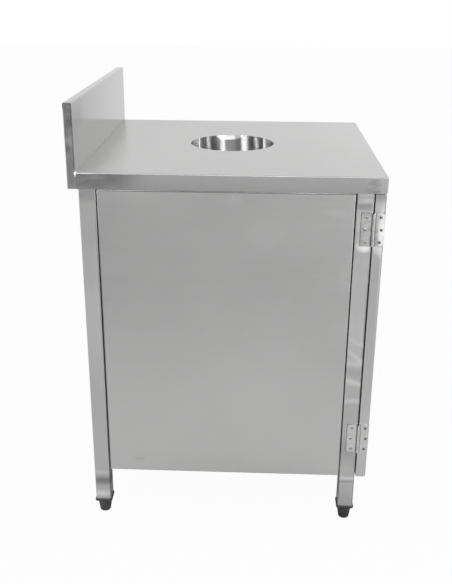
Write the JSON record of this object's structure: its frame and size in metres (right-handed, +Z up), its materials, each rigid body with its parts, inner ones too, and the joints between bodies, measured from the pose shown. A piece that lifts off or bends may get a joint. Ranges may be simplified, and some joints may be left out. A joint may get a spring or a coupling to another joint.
{
  "type": "waste bin cabinet",
  "caption": "Free-standing stainless steel cabinet for a waste bin, with a round chute in the worktop, a rear upstand, a hinged door and levelling feet.",
  "frame": {"origin": "on the floor, at the middle of the whole outline, with the hinge barrels, leg inserts and handle counted in", "axes": "+Z up, -Y to the front where the door is, +Y to the wall behind the upstand, +X to the right seen from the front"},
  "size_m": [0.7079, 0.7306, 1.035],
  "materials": {
    "brushed_sheet": "fine brushed stainless sheet",
    "leg_tube": "satin stainless tube",
    "bright_steel": "bright stainless",
    "black_plastic": "moulded, slightly grained",
    "grey_plastic": "moulded, smooth",
    "magnet": "dark ferrite block"
  },
  "bodies": {
    "cabinet": {"worktop": "brushed_sheet", "upstand_end_cap_left": "bright_steel", "upstand_end_cap_right": "bright_steel", "chute_collar": "bright_steel", "worktop_stiffener_front": "brushed_sheet", "worktop_stiffener_rear": "brushed_sheet", "leg_front_left": "leg_tube", "leg_front_right": "leg_tube", "leg_rear_left": "leg_tube", "leg_rear_right": "leg_tube", "leg_insert_front_left": "black_plastic", "leg_insert_front_right": "black_plastic", "leg_insert_rear_left": "black_plastic", "leg_insert_rear_right": "black_plastic", "side_panel_left": "brushed_sheet", "side_panel_right": "brushed_sheet", "back_panel": "brushed_sheet", "bottom_shelf": "brushed_sheet", "shelf_stiffener": "brushed_sheet", "front_rail": "brushed_sheet", "rear_rail": "brushed_sheet", "upper_hinge_leg_leaf": "bright_steel", "lower_hinge_leg_leaf": "bright_steel", "upper_hinge_pin": "bright_steel", "lower_hinge_pin": "bright_steel", "upper_leg_rivet_1": "bright_steel", "upper_leg_rivet_2": "bright_steel", "upper_leg_rivet_3": "bright_steel", "lower_leg_rivet_1": "bright_steel", "lower_leg_rivet_2": "bright_steel", "lower_leg_rivet_3": "bright_steel", "catch_housing": "grey_plastic", "catch_magnet": "magnet"},
    "door": {"door_outer_skin": "brushed_sheet", "door_inner_skin": "brushed_sheet", "door_handle": "bright_steel", "handle_screw_lower": "bright_steel", "handle_screw_upper": "bright_steel", "catch_striker": "bright_steel", "upper_hinge_door_leaf": "bright_steel", "lower_hinge_door_leaf": "bright_steel", "upper_door_rivet_1": "bright_steel", "upper_door_rivet_2": "bright_steel", "upper_door_rivet_3": "bright_steel", "lower_door_rivet_1": "bright_steel", "lower_door_rivet_2": "bright_steel", "lower_door_rivet_3": "bright_steel"},
    "front_left_foot": {"foot_front_left": "black_plastic", "foot_stud_front_left": "bright_steel"},
    "front_right_foot": {"foot_front_right": "black_plastic", "foot_stud_front_right": "bright_steel"},
    "rear_left_foot": {"foot_rear_left": "black_plastic", "foot_stud_rear_left": "bright_steel"},
    "rear_right_foot": {"foot_rear_right": "black_plastic", "foot_stud_rear_right": "bright_steel"}
  },
  "joints": [
    {"name": "door_hinge", "type": "hinge", "parent": "cabinet", "child": "door", "pos_m": [-0.35025, -0.3082, 0.488], "axis": [0, 0, -1], "range_deg": [0, 180]},
    {"name": "front_left_foot_slide", "type": "slide", "parent": "cabinet", "child": "front_left_foot", "axis": [0, 0, -1], "range_m": [0, 0.02]},
    {"name": "front_right_foot_slide", "type": "slide", "parent": "cabinet", "child": "front_right_foot", "axis": [0, 0, -1], "range_m": [0, 0.02]},
    {"name": "rear_left_foot_slide", "type": "slide", "parent": "cabinet", "child": "rear_left_foot", "axis": [0, 0, -1], "range_m": [0, 0.02]},
    {"name": "rear_right_foot_slide", "type": "slide", "parent": "cabinet", "child": "rear_right_foot", "axis": [0, 0, -1], "range_m": [0, 0.02]}
  ]
}
